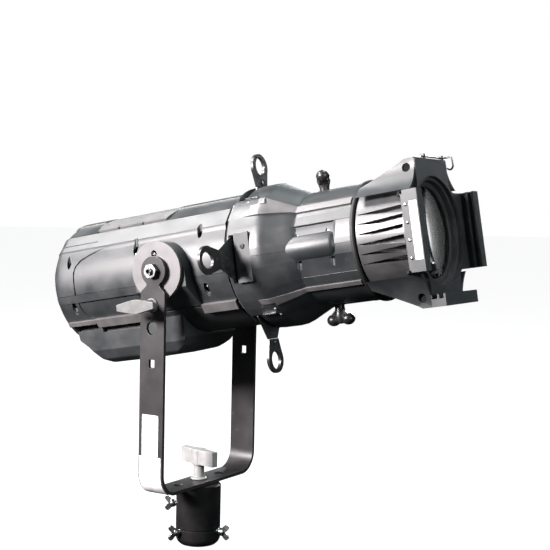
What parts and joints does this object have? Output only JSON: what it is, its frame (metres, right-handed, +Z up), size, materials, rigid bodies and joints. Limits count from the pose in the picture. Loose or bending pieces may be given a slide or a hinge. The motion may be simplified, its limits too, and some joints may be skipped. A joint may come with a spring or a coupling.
{
  "type": "ellipsoidal spotlight",
  "caption": "Black theatre profile spotlight with shutters, a ribbed lens tube and colour-frame holder, on a strap yoke and stand adapter.",
  "frame": {"origin": "centre of the stand adapter's open lower end, on its axis", "axes": "+Z up along the stand pole, +X the way the beam points seen from above, +Y to the light's far side, along the tilt axis; the beam itself climbs 9.8 degrees above +X at rest"},
  "size_m": [0.5771, 0.311, 0.5254],
  "materials": {
    "black_casting": "textured black powder coat on die-cast aluminium",
    "black_steel": "black powder coat on steel, slightly worn",
    "machined_aluminium": "machined, satin",
    "zinc": "zinc plated",
    "handle_aluminium": "die-cast, bare, satin",
    "black_plastic": "moulded, satin",
    "steel": "stainless, heat darkened",
    "supply_case": "folded sheet case",
    "rubber": "matte",
    "glass": "clear, polished",
    "screen": "glossy, blank",
    "circuit_board": "solder mask"
  },
  "bodies": {
    "stand": {"stand_sleeve": "black_steel"},
    "wing_screw_1": {"wing_screw_1": "zinc"},
    "wing_screw_2": {"wing_screw_2": "zinc"},
    "wing_screw_3": {"wing_screw_3": "zinc"},
    "wing_screw_4": {"wing_screw_4": "zinc"},
    "yoke_bolt": {"yoke_bolt": "handle_aluminium"},
    "yoke": {"yoke_strap": "black_steel", "tilt_clamp_jaw": "black_steel"},
    "tilt_lock": {"tilt_lock_handle": "handle_aluminium"},
    "head": {"upper_shell": "black_casting", "lower_shell": "black_casting", "top_grille": "black_casting", "pod_cover": "black_casting", "rear_cover": "black_casting", "display_window": "screen", "data_inlet": "black_plastic", "data_outlet": "black_plastic", "power_inlet": "black_plastic", "power_outlet": "black_plastic", "control_board": "circuit_board", "fan_frame": "black_plastic", "heat_sink": "machined_aluminium", "led_board": "circuit_board", "condenser_lens": "glass", "power_supply": "supply_case", "turntable_ring": "machined_aluminium", "tilt_boss_near": "black_casting", "tilt_boss_far": "black_casting", "tilt_disc_near": "machined_aluminium", "tilt_disc_far": "machined_aluminium", "pivot_bolt_near": "machined_aluminium", "pivot_bolt_far": "machined_aluminium", "pivot_nut_near": "zinc", "pivot_nut_far": "zinc"},
    "menu_button_1": {"menu_button_1": "rubber"},
    "menu_button_2": {"menu_button_2": "rubber"},
    "menu_button_3": {"menu_button_3": "rubber"},
    "menu_button_4": {"menu_button_4": "rubber"},
    "fan": {"fan_rotor": "black_plastic"},
    "barrel": {"barrel_upper": "black_casting", "barrel_lower": "black_casting", "gate_plate_rear": "steel", "gate_plate_front": "steel", "barrel_end_ring": "rubber"},
    "shutter_top": {"shutter_blade_top": "steel", "shutter_grip_top": "black_plastic"},
    "shutter_near": {"shutter_blade_near": "steel", "shutter_grip_near": "black_plastic"},
    "shutter_bottom": {"shutter_blade_bottom": "steel", "shutter_grip_bottom": "black_plastic"},
    "shutter_far": {"shutter_blade_far": "steel", "shutter_grip_far": "black_plastic"},
    "lens_carriage": {"lens_tube": "black_casting", "frame_holder": "black_casting", "front_lens": "glass", "front_lens_ring": "black_casting", "rear_lens": "glass"},
    "focus_knob_top": {"focus_knob_top": "black_plastic"},
    "focus_knob_bottom": {"focus_knob_bottom": "black_plastic"},
    "frame_latch": {"frame_latch": "zinc"}
  },
  "joints": [
    {"name": "wing_screw_1_turn", "type": "hinge", "parent": "stand", "child": "wing_screw_1", "pos_m": [-0.01328, -0.03238, 0.02], "axis": [-0.3795, -0.9252, 0], "range_deg": [0, 540]},
    {"name": "wing_screw_2_turn", "type": "hinge", "parent": "stand", "child": "wing_screw_2", "pos_m": [0.03468, 0.00469, 0.02], "axis": [0.991, 0.134, 0], "range_deg": [0, 540]},
    {"name": "wing_screw_3_turn", "type": "hinge", "parent": "stand", "child": "wing_screw_3", "pos_m": [-0.0214, 0.02769, 0.02], "axis": [-0.6115, 0.7912, 0], "range_deg": [0, 540]},
    {"name": "wing_screw_4_turn", "type": "hinge", "parent": "stand", "child": "wing_screw_4", "pos_m": [-0.03245, -0.01311, 0.053], "axis": [-0.9272, -0.3746, 0], "range_deg": [0, 540]},
    {"name": "yoke_bolt_turn", "type": "hinge", "parent": "stand", "child": "yoke_bolt", "pos_m": [0, 0, 0.1], "axis": [0, 0, 1], "range_deg": [0, 540]},
    {"name": "yoke_pan", "type": "hinge", "parent": "stand", "child": "yoke", "pos_m": [0, 0, 0.0832], "axis": [0, 0, 1], "continuous": true},
    {"name": "tilt_lock_turn", "type": "hinge", "parent": "yoke", "child": "tilt_lock", "pos_m": [0, -0.12, 0.3295], "axis": [0, -1, 0], "range_deg": [0, 180]},
    {"name": "tilt", "type": "hinge", "parent": "yoke", "child": "head", "pos_m": [0, 0, 0.373], "axis": [0, -1, 0], "range_deg": [-55, 120]},
    {"name": "menu_button_1_press", "type": "slide", "parent": "head", "child": "menu_button_1", "axis": [0.9854, 0, 0.1702], "range_m": [0, 0.0012], "stiffness_N_per_m": 400},
    {"name": "menu_button_2_press", "type": "slide", "parent": "head", "child": "menu_button_2", "axis": [0.9854, 0, 0.1702], "range_m": [0, 0.0012], "stiffness_N_per_m": 400},
    {"name": "menu_button_3_press", "type": "slide", "parent": "head", "child": "menu_button_3", "axis": [0.9854, 0, 0.1702], "range_m": [0, 0.0012], "stiffness_N_per_m": 400},
    {"name": "menu_button_4_press", "type": "slide", "parent": "head", "child": "menu_button_4", "axis": [0.9854, 0, 0.1702], "range_m": [0, 0.0012], "stiffness_N_per_m": 400},
    {"name": "fan_spin", "type": "hinge", "parent": "head", "child": "fan", "pos_m": [-0.13599, 0, 0.34951], "axis": [0.9854, 0, 0.1702], "continuous": true},
    {"name": "barrel_turn", "type": "hinge", "parent": "head", "child": "barrel", "pos_m": [0.0946, 0, 0.38934], "axis": [0.9854, 0, 0.1702], "range_deg": [-25, 25]},
    {"name": "shutter_top_slide", "type": "slide", "parent": "barrel", "child": "shutter_top", "axis": [-0.1702, 0, 0.9854], "range_m": [-0.005, 0.036]},
    {"name": "shutter_near_slide", "type": "slide", "parent": "barrel", "child": "shutter_near", "axis": [0, -1, 0], "range_m": [-0.033, 0.008]},
    {"name": "shutter_bottom_slide", "type": "slide", "parent": "barrel", "child": "shutter_bottom", "axis": [0.1702, 0, -0.9854], "range_m": [-0.017, 0.024]},
    {"name": "shutter_far_slide", "type": "slide", "parent": "barrel", "child": "shutter_far", "axis": [0, 1, 0], "range_m": [-0.017, 0.024]},
    {"name": "focus_slide", "type": "slide", "parent": "barrel", "child": "lens_carriage", "axis": [0.9854, 0, 0.1702], "range_m": [0, 0.045]},
    {"name": "focus_knob_top_turn", "type": "hinge", "parent": "lens_carriage", "child": "focus_knob_top", "pos_m": [0.18445, 0, 0.48605], "axis": [-0.1702, 0, 0.9854], "range_deg": [0, 270]},
    {"name": "focus_knob_bottom_turn", "type": "hinge", "parent": "lens_carriage", "child": "focus_knob_bottom", "pos_m": [0.21168, 0, 0.32838], "axis": [0.1702, 0, -0.9854], "range_deg": [0, 270]},
    {"name": "frame_latch_flip", "type": "hinge", "parent": "lens_carriage", "child": "frame_latch", "pos_m": [0.3255, 0.012, 0.52015], "axis": [0, -1, 0], "range_deg": [0, 115]}
  ]
}
